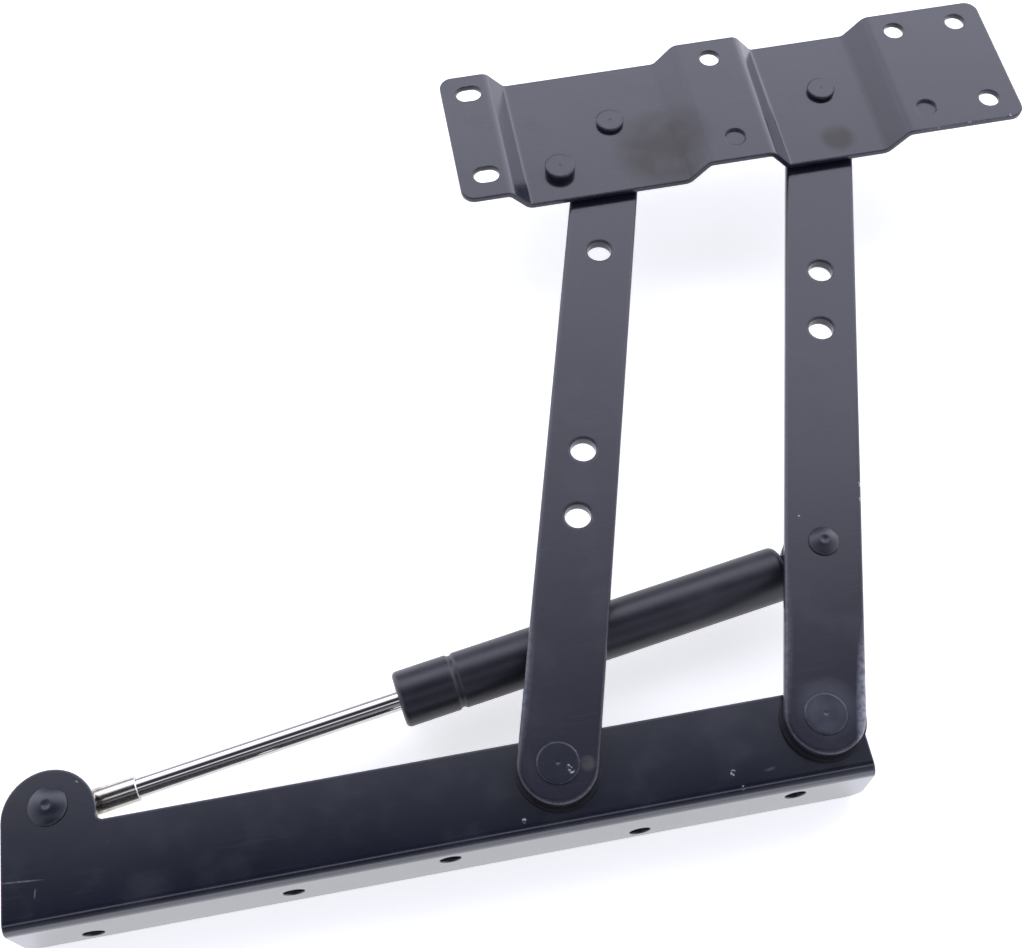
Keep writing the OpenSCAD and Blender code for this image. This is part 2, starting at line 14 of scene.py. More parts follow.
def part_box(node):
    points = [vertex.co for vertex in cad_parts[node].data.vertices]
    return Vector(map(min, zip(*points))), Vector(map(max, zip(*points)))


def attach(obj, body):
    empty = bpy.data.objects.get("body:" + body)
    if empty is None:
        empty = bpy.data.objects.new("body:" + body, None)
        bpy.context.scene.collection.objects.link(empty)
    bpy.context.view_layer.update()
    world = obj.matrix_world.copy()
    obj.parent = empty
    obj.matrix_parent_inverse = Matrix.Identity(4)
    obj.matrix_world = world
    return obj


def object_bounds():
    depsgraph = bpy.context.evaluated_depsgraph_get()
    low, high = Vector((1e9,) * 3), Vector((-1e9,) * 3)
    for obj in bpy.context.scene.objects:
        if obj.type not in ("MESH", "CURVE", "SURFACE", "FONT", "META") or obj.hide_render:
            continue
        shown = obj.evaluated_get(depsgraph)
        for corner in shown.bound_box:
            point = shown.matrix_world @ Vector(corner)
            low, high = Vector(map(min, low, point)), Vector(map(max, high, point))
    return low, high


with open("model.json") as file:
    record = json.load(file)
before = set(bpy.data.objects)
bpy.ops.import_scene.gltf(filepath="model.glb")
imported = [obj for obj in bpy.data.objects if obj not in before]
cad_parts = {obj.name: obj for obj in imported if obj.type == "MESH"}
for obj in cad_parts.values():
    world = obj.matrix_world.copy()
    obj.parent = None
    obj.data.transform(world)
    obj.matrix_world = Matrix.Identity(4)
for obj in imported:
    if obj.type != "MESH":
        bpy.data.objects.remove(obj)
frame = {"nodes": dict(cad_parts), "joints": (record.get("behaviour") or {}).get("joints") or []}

bl_info = {
    "name": "Lift-top mechanism looks",
    "version": (1, 0, 0),
    "blender": (4, 5, 0),
    "location": "3D View > Sidebar > Mechanism",
    "description": "Finishes, light and small details for a lift-top table mechanism",
    "category": "Object",
}

MM = 0.001
CAD_BOX = [list(corner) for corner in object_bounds()]
JOINTS = {joint["name"]: joint for joint in frame["joints"]}
# The gas spring swings on the ear's pivot, and its line runs from there to the right arm.
EAR_PIVOT = Vector(JOINTS["strut_swing"]["pos_m"])
STRUT_LINE = Vector(JOINTS["strut_slide"]["axis"]).normalized()

# Faces that carry marks: their place along Y in millimetres.
RAIL_FACE = -11.0
ARM_CORNER = -16.5
ARM_FACE = -17.5
RIVET_FACE = -18.3
RECESS_FACE = -21.5
PAD_FACE = -31.5
# The arms' lean from upright, in degrees.
ARM_LEAN = 15.7

# Marks as (x, y, z, radius). Chips are bare steel, rubbed places only show on edges, and film is brown. The
# arms' rubbed ends are partly wear and partly a painted highlight on the rims.
RAIL_CHIPS = (
    (106.5, RAIL_FACE, 9.6, 1.3),
    (108.6, RAIL_FACE, 3.6, 1.0),
    (28.5, RAIL_FACE, 6.4, 1.1),
    (-130.4, RAIL_FACE, 50.0, 0.9),
)
RAIL_RUBBED = ((-134.2, RAIL_FACE, 45.2, 3.0),)
ARM_CHIPS = (
    (156.5, ARM_FACE, 103.4, 0.9),
    (183.2, ARM_FACE, 105.1, 2.0),
    (184.6, ARM_FACE, 112.0, 1.5),
)
ARM_RUBBED_AND_HIGHLIT = (
    (44.0, ARM_FACE, 18.0, 17.0),
    (144.0, ARM_FACE, 18.0, 17.0),
    (155.0, ARM_CORNER, 14.0, 8.0),
)
ARM_GREASE = (54.5, ARM_FACE, 21.0, 3.4)
ARM_HAZE = (145.5, ARM_FACE, 25.5, 12.5)
PLATE_CHIPS = (
    (267.0, PAD_FACE, 271.9, 0.9),
    (281.0, PAD_FACE, 271.9, 1.0),
    (300.0, PAD_FACE, 272.9, 1.0),
    (109.7, RECESS_FACE, 272.6, 0.9),
)
PLATE_RUBBED = ((270.0, PAD_FACE, 272.0, 14.0), (290.0, PAD_FACE, 272.0, 14.0))
PLATE_FILM = ((146.0, RECESS_FACE, 292.0, 25.0), (225.0, RECESS_FACE, 283.0, 9.0))
RIVET_CHIPS = ((48.2, RIVET_FACE, 19.4, 1.4), (47.4, RIVET_FACE, 21.0, 0.8))
RIVET_HAZE = (144.0, RIVET_FACE, 23.0, 10.0)
# Bright ovals as (x, z, lean in degrees, half length, half width, strength). The arms' ovals are a painted
# highlight along their edges, over some wear.
RAIL_POLISHED = (
    (-151.0, 17.6, 95.0, 9.5, 0.4, 0.32),
    (-146.0, 12.5, 8.0, 2.0, 0.4, 0.4),
    (120.0, 8.4, 80.0, 2.6, 0.8, 0.15),
)
ARM_WORN_AND_HIGHLIT = (
    (158.6, 18.0, ARM_LEAN, 42.0, 4.5, 0.8),
    (37.0, 56.0, ARM_LEAN, 40.0, 4.0, 0.18),
    (136.5, 52.0, ARM_LEAN, 34.0, 3.5, 0.15),
)

WHITE = (1.0, 1.0, 1.0, 1.0)
ENAMEL_IOR = 1.55
CLEAR_COAT_ROUGHNESS = 0.05
# The tube's closed end lies this far from the eye's pivot, and the eye's block is welded on there.
PIVOT_TO_TUBE = 15.0 * MM
EYE_BLOCK_HALF_HEIGHT = 5.5 * MM
EYE_BLOCK_CORNER = 2.0 * MM
# Points of the weld bead's mesh, along each corner of the block and round the bead.
BEAD_CORNER_POINTS = 12
BEAD_SIDES = 10


def linear(code):
    """Turns an sRGB hex colour into the linear values that Blender works in."""
    channels = [int(code[i : i + 2], 16) / 255 for i in (1, 3, 5)]
    return tuple(c / 12.92 if c <= 0.04045 else ((c + 0.055) / 1.055) ** 2.4 for c in channels)


def colour(name, description, code):
    """A colour setting with its sRGB hex default."""
    return bpy.props.FloatVectorProperty(
        name=name, description=description, default=linear(code), subtype="COLOR", size=3, min=0.0, max=1.0
    )


def length(name, description, mm):
    """A length setting, given in millimetres and kept in metres."""
    return bpy.props.FloatProperty(
        name=name, description=description, default=mm * MM, unit="LENGTH", precision=5
    )


def share(name, description, value):
    """A setting from 0 to 1."""
    return bpy.props.FloatProperty(
        name=name, description=description, default=value, subtype="FACTOR", min=0.0, max=1.0
    )


def brightness(name, description, value):
    """The strength of a light."""
    return bpy.props.FloatProperty(name=name, description=description, default=value, min=0.0)


class MechanismCamera(bpy.types.PropertyGroup):
    """The camera of the photograph"""

    position: bpy.props.FloatVectorProperty(
        name="Position", description="Where the photograph was taken from, below the rail and in front of it",
        default=(0.01031, -0.50906, -0.11556), subtype="TRANSLATION", unit="LENGTH", size=3,
    )
    turn: bpy.props.FloatVectorProperty(
        name="Turn", description="The camera's Euler angles",
        default=(2.06143, 0.17957, 0.01701), subtype="EULER", size=3,
    )
    lens: bpy.props.FloatProperty(
        name="Lens", description="Focal length on a 36 mm wide sensor", default=48.7, unit="CAMERA"
    )


class MechanismStage(bpy.types.PropertyGroup):
    """The table and the light"""

    table_size: length("Table size", "Width of the white table that the mechanism lies on", 5000)
    table_gap: length("Table gap", "Gap between the rail's flange and the table", 0.3)
    table_white: colour("Table", "Colour of the white table", "#e8e8ea")
    table_glow: brightness("Table glow", "Light that comes through the table", 0.6)
    room_light: brightness("Room light", "Brightness of the white room", 3.3)
    shade_light: brightness("Shade light", "Brightness of the room where the photographer stands", 0.05)
    low_lamp: brightness("Low lamp", "Brightness of the low lamp in front", 1.1)
    side_wall: brightness("Side wall", "Light from the pale wall on the right", 0.7)
    room_colour: colour("Room colour", "Tint of the room's light", "#eceeff")


class MechanismFinishes(bpy.types.PropertyGroup):
    """The colours of the finishes and of the marks on them"""

    rail_enamel: colour("Rail enamel", "Blue-black gloss enamel of the rail", "#141723")
    arm_enamel: colour("Arm enamel", "Dark grey satin enamel of the arms", "#1a1b26")
    plate_enamel: colour("Plate enamel", "Dark grey satin enamel of the top plate", "#1c1d28")
    tube_enamel: colour("Tube enamel", "Black satin enamel of the gas spring's tube", "#14151f")
    bare_steel: colour("Bare steel", "Steel where the enamel is chipped off", "#a3a7b0")
    worn_enamel: colour("Worn enamel", "Enamel rubbed lighter along edges", "#5a5b66")
    # This colour is also the painted highlight on the arms' rims and edges.
    rubbed_and_highlit_enamel: colour("Rubbed enamel", "Enamel polished bright on the arms' ends", "#a9abb6")
    film: colour("Brown film", "Shine of the plate where a brown film lies on it", "#dcd3c6")
    nickel: colour("Nickel", "Warm nickel plating of the rod end", "#d9d4c9")
    nickel_stain: colour("Nickel stain", "Brown stain on the nickel near the ear", "#8b7a64")
    chrome: colour("Chrome", "Hard chrome of the piston rod", "#e3e0dc")
    zinc: colour("Zinc", "Bright zinc plating of spacers and washers", "#b4b8be")
    nylon: colour("Nylon", "Black nylon of the pivot washers", "#16161a")
    rubber: colour("Rubber", "Black nitrile rubber of the seal and the piston ring", "#101012")
    grease: colour("Grease", "Pale grease beside the left arm's pivot", "#62625a")


class MechanismWear(bpy.types.PropertyGroup):
    """Wear, and the rounding of edges"""

    edge_reach: length("Edge reach", "How far the wear and the soft rim of light reach in from an edge", 1.1)
    edge_share: share("Edge wear", "How much of the edges is rubbed lighter", 0.45)
    chip_share: share("Chips", "How much of the chipped places is bare", 0.5)
    wipe_depth: length("Wipe depth", "Depth of the wiping marks", 0.00075)
    arm_edge: length("Arm edge", "Rounding of the arms' edges", 0.5)
    sheet_edge: length("Sheet edge", "Rounding of the sheet parts' edges", 0.3)
    turned_edge: length("Turned edge", "Rounding of the turned parts' edges", 0.15)


def settings(context):
    """The colours and the wear, as the panel gives them."""
    return context.scene.mechanism_finishes, context.scene.mechanism_wear


def add(tree, kind, *ordered, named=None, **options):
    """Adds a node with its options, and fills its inputs in order or by name.

    An input takes a value, an output, or a node, which stands for its first output.
    """
    node = tree.nodes.new("ShaderNode" + kind)
    for option, value in options.items():
        setattr(node, option, value)
    for key, value in (*enumerate(ordered), *(named or {}).items()):
        if isinstance(value, bpy.types.Node):
            value = value.outputs[0]
        if isinstance(value, bpy.types.NodeSocket):
            tree.links.new(value, node.inputs[key])
        else:
            node.inputs[key].default_value = value
    return node


def start_material(name):
    """An empty material with its shader, and the surface's place in millimetres."""
    material = bpy.data.materials.new(name)
    material.use_nodes = True
    tree = material.node_tree
    tree.nodes.clear()
    shader = add(tree, "BsdfPrincipled")
    add(tree, "OutputMaterial", shader)
    place = add(tree, "TexCoord").outputs["Object"]
    mm = add(tree, "VectorMath", place, (1 / MM,) * 3, operation="MULTIPLY")
    return material, tree, shader, mm


def finish_material(tree, shader, base, rough, surface):
    """Links the colour, the roughness and the normal to the shader."""
    sockets = {"Base Color": base, "Roughness": rough.outputs[0], "Normal": surface.outputs[0]}
    for name, socket in sockets.items():
        tree.links.new(socket, shader.inputs[name])


def opaque(rgb, brighter=1.0):
    """A colour with full alpha, as colour sockets take it."""
    return (*(c * brighter for c in rgb), 1.0)


def cloud(tree, mm, period, detail=3.0, seed=0.0):
    """Noise from 0 to 1 with spots of the given size in millimetres. Each seed gives another pattern."""
    moved = add(tree, "VectorMath", mm, (seed, 2 * seed, 3 * seed), operation="ADD")
    return add(tree, "TexNoise", named={"Vector": moved, "Scale": 1 / period, "Detail": detail})


def edge_mask(tree, rounded):
    """1 on outer edges, found where a rounded normal leaves the true one by 10 degrees and more."""
    true = add(tree, "NewGeometry").outputs["Normal"]
    same = add(tree, "VectorMath", rounded, true, operation="DOT_PRODUCT").outputs["Value"]
    return add(tree, "MapRange", same, 0.985, 0.8)


def spots(tree, mm, places):
    """1 in the middle of each place, given as (x, y, z, radius) in millimetres, down to 0 at its radius."""
    mask = 0.0
    for x, y, z, radius in places:
        away = add(tree, "VectorMath", mm, (x, y, z), operation="DISTANCE").outputs["Value"]
        near = add(tree, "MapRange", away, radius, radius * 0.55)
        mask = add(tree, "Math", mask, near, operation="MAXIMUM")
    return mask


def patch(tree, mm, x, z, lean, half_length, half_width):
    """1 in the middle of a long oval on the front, and less towards its outline. It leans from upright."""
    # The oval goes right through the part, 2 m deep along Y.
    turned = add(
        tree, "Mapping", mm, (x, 0, z), (0, math.radians(lean), 0), (half_width, 1000, half_length),
        vector_type="TEXTURE",
    )
    away = add(tree, "VectorMath", turned, operation="LENGTH").outputs["Value"]
    return add(tree, "MapRange", away, 1.0, 0.35)


def scratches(tree, mm, period):
    """Thin lines along X, as wiping leaves them: noise that is drawn out 33 times."""
    drawn = add(tree, "VectorMath", mm, (0.03, 1.0, 1.0), operation="MULTIPLY")
    return add(tree, "MapRange", cloud(tree, drawn, period, detail=2.0, seed=7.0), 0.62, 0.7)


def layered(tree, base, layers):
    """Lays colours over a base colour, given as (mask, strength, colour) from the lowest layer up."""
    for mask, strength, over in layers:
        amount = add(tree, "Math", mask, strength, operation="MULTIPLY")
        # A mix keeps its colours in inputs 6 and 7 and in output 2, after those for plain values.
        inputs = {0: amount, 6: base, 7: over}
        base = add(tree, "Mix", named=inputs, data_type="RGBA", clamp_factor=True).outputs[2]
    return base


def enamel(
    name, rgb, wear, finishes, roughness, peel,
    chips=(), rubbed=(), polished=(), stains=(), film=(), coat=0.0, reach=1.0,
):
    """Stoved enamel on steel sheet or bar, with orange peel, rubbed edges, chips and wiping marks. Rubbed
    rims and bright ovals on the arms are partly a painted highlight.
    """
    material, tree, shader, mm = start_material(name)
    # Broad clouds: the coat's thickness varies over a few centimetres, so its gloss does too.
    cloudy = cloud(tree, mm, 45.0, detail=2.0)
    # Orange peel: real waves are 1 to 2 mm long, drawn at their size.
    waves = cloud(tree, mm, peel, detail=2.0, seed=3.0)
    # Grit under the coat is about 0.1 mm, too fine to show, so it is drawn at 0.5 mm.
    grit = cloud(tree, mm, 0.5, detail=2.0, seed=5.0)
    wiped = scratches(tree, mm, 0.9)
    # Wear is torn at 2 mm along its outline, and chips at 1 mm.
    ragged = cloud(tree, mm, 2.2, detail=4.0, seed=11.0)
    crumbs = cloud(tree, mm, 1.1, seed=17.0)
    # Finger marks are soft patches of 15 mm, and dust is specks of 0.7 mm.
    fingers = cloud(tree, mm, 15.0, detail=4.0, seed=23.0)
    dust = cloud(tree, mm, 0.7, detail=2.0, seed=29.0)

    # Masks, 1 where the surface has the mark.
    rounded = add(tree, "Bevel", wear.edge_reach * reach, samples=6)
    rim = edge_mask(tree, rounded)
    torn = add(tree, "MapRange", ragged, 0.62 - wear.edge_share * 0.4, 0.72)
    edges = add(tree, "Math", rim, torn, operation="MULTIPLY")
    # Rims in the rubbed places are made bright: wear, and on the arms' ends a painted highlight too.
    frayed = add(tree, "MapRange", ragged, 0.2, 0.6)
    worn_and_highlit = add(tree, "Math", rim, frayed, operation="MULTIPLY")
    worn_and_highlit = add(tree, "Math", worn_and_highlit, spots(tree, mm, rubbed), operation="MULTIPLY")
    least = 0.66 - 0.3 * wear.chip_share
    broken = add(tree, "MapRange", crumbs, least, least + 0.02)
    chipped = add(tree, "Math", spots(tree, mm, chips), broken, operation="MULTIPLY")
    touched = add(tree, "MapRange", fingers, 0.5, 0.72, 0.0, 0.06)
    dusty = add(tree, "MapRange", dust, 0.76, 0.8, 0.0, 0.4)
    soiled = add(tree, "Math", touched, dusty, operation="MAXIMUM")

    # Colours, from the coat up to the chips.
    lighter, bright = opaque(finishes.worn_enamel), opaque(finishes.rubbed_and_highlit_enamel)
    layers = [
        (add(tree, "MapRange", cloudy, 0.3, 0.7), 0.35, opaque(rgb, 1.5)),
        (wiped, 0.05, lighter),
        (soiled, 1.0, lighter),
    ]
    for *place, tint in stains:
        smeared = add(tree, "MapRange", cloud(tree, mm, 9.0), 0.3, 0.7, 0.15, 0.45)
        layers.append((spots(tree, mm, [place]), smeared, opaque(tint)))
    # Rubbed rims and bright ovals: on the arms these are partly wear and partly a painted highlight.
    layers += [(edges, 1.0, lighter), (worn_and_highlit, 0.85, bright)]
    for *oval, strength in polished:
        uneven = add(tree, "MapRange", ragged, 0.3, 0.65, 0.3 * strength, strength)
        layers.append((patch(tree, mm, *oval), uneven, bright))
    layers.append((chipped, 1.0, opaque(finishes.bare_steel)))
    base = layered(tree, opaque(rgb), layers)

    # Grit, wear and finger marks are duller than the coat.
    rough = add(tree, "MapRange", cloudy, 0.2, 0.8, roughness - 0.04, roughness + 0.05)
    dulled = add(tree, "Math", edges, worn_and_highlit, operation="MAXIMUM")
    greasy = add(tree, "MapRange", fingers, 0.5, 0.72)
    for mask, duller in ((grit, 0.04), (dulled, 0.12), (greasy, 0.08)):
        rough = add(tree, "Math", mask, duller, rough, operation="MULTIPLY_ADD")

    # Heights, each with its depth: a chip goes 0.06 mm deep, through the coat.
    whole = add(tree, "Math", 1.0, chipped, operation="SUBTRACT")
    surface = rounded
    for height, depth in (
        (waves, 0.008 * MM), (grit, 0.002 * MM), (wiped, wear.wipe_depth), (whole, 0.06 * MM)
    ):
        surface = add(tree, "Bump", named={"Height": height, "Distance": depth, "Normal": surface})
    finish_material(tree, shader, base, rough, surface)

    if film:
        # A brown film takes some of the blue out of the shine.
        smeared = add(tree, "MapRange", cloud(tree, mm, 12.0), 0.1, 0.5)
        shine = layered(tree, WHITE, [(spots(tree, mm, film), smeared, opaque(finishes.film))])
        tree.links.new(shine, shader.inputs["Specular Tint"])
    shader.inputs["IOR"].default_value = ENAMEL_IOR
    shader.inputs["Coat Weight"].default_value = coat
    shader.inputs["Coat Roughness"].default_value = CLEAR_COAT_ROUGHNESS
    return material


def plated(name, rgb, roughness, turning, stain=None, reach=(0.0, 1.0)):
    """Turned and plated steel: fine turning lines round the gas spring's line, and cloudy gloss.

    A stain has full strength up to the first reach along the spring from the ear, and ends at the second.
    """
    material, tree, shader, mm = start_material(name)
    ear = add(tree, "VectorMath", mm, tuple(EAR_PIVOT / MM), operation="SUBTRACT")
    along = add(tree, "VectorMath", ear, tuple(STRUT_LINE), operation="DOT_PRODUCT").outputs["Value"]
    # Turning lines are 0.1 mm apart and are drawn wider, so that they show. They waver over 6 mm.
    waver = add(tree, "Math", cloud(tree, mm, 6.0), 0.4, operation="MULTIPLY")
    lines = cloud(tree, add(tree, "CombineXYZ", along, waver), turning, detail=2.0)
    cloudy = cloud(tree, mm, 5.0, detail=4.0)
    layers = [(add(tree, "MapRange", cloudy, 0.35, 0.7), 0.5, opaque(rgb, 0.8))]
    if stain is not None:
        near_ear = add(tree, "MapRange", along, reach[1], reach[0])
        patchy = add(tree, "MapRange", cloud(tree, mm, 2.4, detail=4.0), 0.35, 0.6)
        layers.append((near_ear, patchy, opaque(stain)))
    rough = add(tree, "MapRange", lines, 0.3, 0.7, roughness * 0.7, roughness * 1.3)
    rough = add(tree, "Math", cloudy, 0.05, rough, operation="MULTIPLY_ADD")
    surface = add(tree, "Bump", named={"Height": lines, "Distance": 0.004 * MM})
    finish_material(tree, shader, layered(tree, opaque(rgb), layers), rough, surface)
    shader.inputs["Metallic"].default_value = 1.0
    return material


def moulded(name, rgb, roughness, grain):
    """Moulded nylon or rubber: a fine even grain and a slight bloom."""
    material, tree, shader, mm = start_material(name)
    grains = cloud(tree, mm, grain, detail=2.0)
    bloom = add(tree, "MapRange", cloud(tree, mm, 7.0, seed=4.0), 0.4, 0.75)
    base = layered(tree, opaque(rgb), [(bloom, 0.5, opaque(rgb, 2.2))])
    rough = add(tree, "MapRange", grains, 0.3, 0.7, roughness - 0.06, roughness + 0.08)
    surface = add(tree, "Bump", named={"Height": grains, "Distance": 0.015 * MM})
    finish_material(tree, shader, base, rough, surface)
    return material


def soften(obj, width):
    """Joins the faces of a CAD piece and rounds its edges a little, as a real edge is."""
    for name in [a.name for a in obj.data.attributes if a.name == "custom_normal"]:
        obj.data.attributes.remove(obj.data.attributes[name])
    obj.data.polygons.foreach_set("use_smooth", [True] * len(obj.data.polygons))
    joined = obj.modifiers.new("joined faces", "WELD")
    joined.merge_threshold = 0.001 * MM
    flat = obj.modifiers.new("whole flat faces", "DECIMATE")
    flat.decimate_type = "DISSOLVE"
    flat.angle_limit = math.radians(0.5)
    rounded = obj.modifiers.new("rounded edge", "BEVEL")
    rounded.width = width
    rounded.segments = 2
    rounded.limit_method = "ANGLE"
    rounded.angle_limit = math.radians(32)
    rounded.loop_slide = False
    rounded.use_clamp_overlap = False
    shaded = obj.modifiers.new("flat faces stay flat", "WEIGHTED_NORMAL")
    shaded.mode = "FACE_AREA"
    shaded.weight = 100


def dress(names, material, edge=None):
    """Gives CAD nodes their finish and their rounded edges."""
    for name in names:
        obj = frame["nodes"][name]
        for slot in obj.material_slots:
            slot.material = material
        if edge is not None:
            soften(obj, edge)


class MECHANISM_OT_camera(bpy.types.Operator):
    """Put the camera where the photograph was taken from"""

    bl_idname = "mechanism.camera"
    bl_label = "Camera"

    def execute(self, context):
        view = context.scene.mechanism_camera
        camera = bpy.data.objects.new("camera", bpy.data.cameras.new("camera"))
        context.scene.collection.objects.link(camera)
        camera.matrix_world = Matrix.LocRotScale(Vector(view.position), Euler(view.turn), None)
        camera.data.lens = view.lens
        camera.data.sensor_width = 36.0
        camera.data.clip_start = 0.01
        context.scene.camera = camera
        return {"FINISHED"}


class MECHANISM_OT_stage(bpy.types.Operator):
    """Lay the mechanism on a white table in soft studio light"""

    bl_idname = "mechanism.stage"
    bl_label = "Table and light"

    def execute(self, context):
        stage = context.scene.mechanism_stage
        half = stage.table_size / 2
        back = CAD_BOX[1][1] + stage.table_gap
        corners = [(-half, back, -half), (half, back, -half), (half, back, half), (-half, back, half)]
        mesh = bpy.data.meshes.new("table")
        mesh.from_pydata(corners, [], [(0, 1, 2, 3)])
        table = bpy.data.objects.new("table", mesh)
        context.scene.collection.objects.link(table)
        mesh.materials.append(self.table_top(stage))
        if mesh.polygons[0].normal.y > 0:
            raise RuntimeError("The table faces away from the mechanism")
        self.surroundings(context, stage)
        context.scene.view_settings.view_transform = "Standard"
        return {"FINISHED"}

    def table_top(self, stage):
        """White melamine board. Seen from behind it lets the view and the light through."""
        material, tree, shader, mm = start_material("white melamine")
        mottled = add(tree, "MapRange", cloud(tree, mm, 90.0, detail=2.0), 0.3, 0.7)
        board = layered(tree, opaque(stage.table_white), [(mottled, 0.3, WHITE)])
        tree.links.new(board, shader.inputs["Base Color"])
        shader.inputs["Roughness"].default_value = 0.6
        shader.inputs["Emission Color"].default_value = WHITE
        shader.inputs["Emission Strength"].default_value = stage.table_glow
        behind = add(tree, "NewGeometry").outputs["Backfacing"]
        clear = add(tree, "BsdfTransparent")
        seen = add(tree, "MixShader", behind, shader, clear)
        output = next(node for node in tree.nodes if node.type == "OUTPUT_MATERIAL")
        tree.links.new(seen.outputs[0], output.inputs["Surface"])
        return material

    def surroundings(self, context, stage):
        """White room, with the photographer's shade in front of the rail and reaching down."""
        world = bpy.data.worlds.new("white room")
        context.scene.world = world
        world.use_nodes = True
        tree = world.node_tree
        tree.nodes.clear()
        way = add(tree, "TexCoord").outputs["Generated"]
        x, y, z = add(tree, "SeparateXYZ", way).outputs
        # Directions are points of a unit sphere. The shade lies straight ahead of the rail's web, towards -Y.
        # How far a direction is from it sideways, up, down and backwards, in parts of the shade's size:
        right = add(tree, "MapRange", x, 0.05, 1.55, 0.0, 2.0)
        left = add(tree, "MapRange", x, -0.2, -1.0, 0.0, 1.3)
        over = add(tree, "MapRange", z, 0.112, 1.0, 0.0, 3.0)
        under = add(tree, "MapRange", z, 0.1, -1.0, 0.0, 0.6)
        behind = add(tree, "MapRange", y, -0.3, 0.3, 0.0, 2.0)
        # Light from the floor in front of the table gives the arms' ends and the rail's bend a thin rim.
        floor = add(tree, "MapRange", z, -0.85, -0.97, 0.0, 1.1)
        aside = add(tree, "Math", right, left, operation="MAXIMUM")
        upright = add(tree, "Math", over, under, operation="MAXIMUM")
        upright = add(tree, "Math", upright, floor, operation="MAXIMUM")
        apart = add(tree, "CombineXYZ", aside, behind, upright)
        away = add(tree, "VectorMath", apart, operation="LENGTH").outputs["Value"]
        # The ceiling overhead is dim: it gives the rod and the tube their upper dark bands.
        # The far left is dimmer, which the plate's slopes and the arms' left edges show.
        room = add(tree, "MapRange", away, 0.4, 1.9, stage.shade_light, stage.room_light)
        room = self.times_ranges(tree, room, [(z, 0.74, 0.9, 1.0, 0.15), (x, -0.5, -0.8, 1.0, 0.7)])
        # A pale wall on the right brightens the middle of the right arm alone.
        ranges = [(z, 0.31, 0.41), (z, 0.58, 0.48), (x, 0.15, 0.24)]
        wall = self.times_ranges(tree, stage.side_wall, ranges)
        # A low lamp in front draws the thin light line on the rail's bend and on the tube's lower side.
        ranges = [(z, -0.26, -0.34), (z, -0.5, -0.42), (y, -0.6, -0.8)]
        lamp = self.times_ranges(tree, stage.low_lamp, ranges)
        strength = add(tree, "Math", room, add(tree, "Math", wall, lamp, operation="ADD"), operation="ADD")
        background = add(tree, "Background", opaque(stage.room_colour), strength)
        add(tree, "OutputWorld", background)

    def times_ranges(self, tree, strength, ranges):
        """A light's strength times ranges of the direction.

        Each is (part, start, end), with a factor from 0 to 1 or with the two factors that follow.
        """
        for limits in ranges:
            strength = add(tree, "Math", strength, add(tree, "MapRange", *limits), operation="MULTIPLY")
        return strength


class MECHANISM_OT_rail(bpy.types.Operator):
    """Finish the base rail in blue-black gloss enamel"""

    bl_idname = "mechanism.rail"
    bl_label = "Base rail"

    def execute(self, context):
        finishes, wear = settings(context)
        # Electrophoretic enamel on cold rolled sheet: thin, even and glossy, nearly black with a blue cast.
        material = enamel(
            "blue-black electrocoat on sheet steel", finishes.rail_enamel, wear, finishes,
            roughness=0.1, peel=2.4,
            chips=RAIL_CHIPS, rubbed=RAIL_RUBBED, polished=RAIL_POLISHED, coat=1.0,
        )
        dress(["base_rail"], material, wear.sheet_edge)
        return {"FINISHED"}


class MECHANISM_OT_arms(bpy.types.Operator):
    """Finish both arms in dark grey satin enamel"""

    bl_idname = "mechanism.arms"
    bl_label = "Arms"

    def execute(self, context):
        finishes, wear = settings(context)
        # Sprayed and stoved enamel on flat bar: half gloss, which spreads the room's light over the arms.
        # The arms' bright rims at their ends and the bright ovals along their edges are a painted highlight
        # over some wear.
        material = enamel(
            "dark grey satin enamel on flat bar", finishes.arm_enamel, wear, finishes,
            roughness=0.14, peel=1.8,
            chips=ARM_CHIPS, rubbed=ARM_RUBBED_AND_HIGHLIT, polished=ARM_WORN_AND_HIGHLIT,
            stains=[(*ARM_GREASE, finishes.grease), (*ARM_HAZE, finishes.worn_enamel)], reach=1.5,
        )
        dress(["left_arm", "right_arm"], material, wear.arm_edge)
        return {"FINISHED"}


class MECHANISM_OT_plate(bpy.types.Operator):
    """Finish the pressed top plate in dark grey satin enamel"""

    bl_idname = "mechanism.plate"
    bl_label = "Top plate"

    def execute(self, context):
        finishes, wear = settings(context)
        # The same enamel on pressed sheet, a little lighter, with a brown film in the recesses.
        material = enamel(
            "dark grey satin enamel on pressed sheet", finishes.plate_enamel, wear, finishes,
            roughness=0.16, peel=1.8,
            chips=PLATE_CHIPS, rubbed=PLATE_RUBBED, film=PLATE_FILM,
        )
        dress(["top_plate"], material, wear.sheet_edge)
        return {"FINISHED"}


class MECHANISM_OT_rivets(bpy.types.Operator):
    """Finish the rivets, the domed pins and the stop pin like the parts they sit in"""

    bl_idname = "mechanism.rivets"
    bl_label = "Rivets and pins"

    def execute(self, context):
        finishes, wear = settings(context)
        # Painted over with the rail after riveting: the same film, thinner on the heads.
        low = enamel(
            "electrocoat over rivet heads", finishes.rail_enamel, wear, finishes, roughness=0.16, peel=1.6,
            chips=RIVET_CHIPS, stains=[(*RIVET_HAZE, finishes.worn_enamel)],
        )
        dress(["left_base_rivet", "right_base_rivet"], low)
        # The ear's dome is sprayed thicker, so its light runs out softly to the rim.
        dome = enamel(
            "soft enamel over the ear's dome", finishes.rail_enamel, wear, finishes, roughness=0.28, peel=1.6
        )
        dress(["ear_rivet"], dome)
        # The arm's domed pin is painted over thickly, and is duller than the arm.
        arm = enamel(
            "satin enamel over the domed pin", finishes.arm_enamel, wear, finishes, roughness=0.36, peel=1.6
        )
        dress(["arm_pin"], arm)
        # The plate's rivets have the plate's own enamel.
        high = enamel(
            "satin enamel over the plate's rivets", finishes.plate_enamel, wear, finishes,
            roughness=0.16, peel=1.6,
        )
        dress(["left_plate_rivet", "right_plate_rivet", "stop_pin"], high)
        return {"FINISHED"}


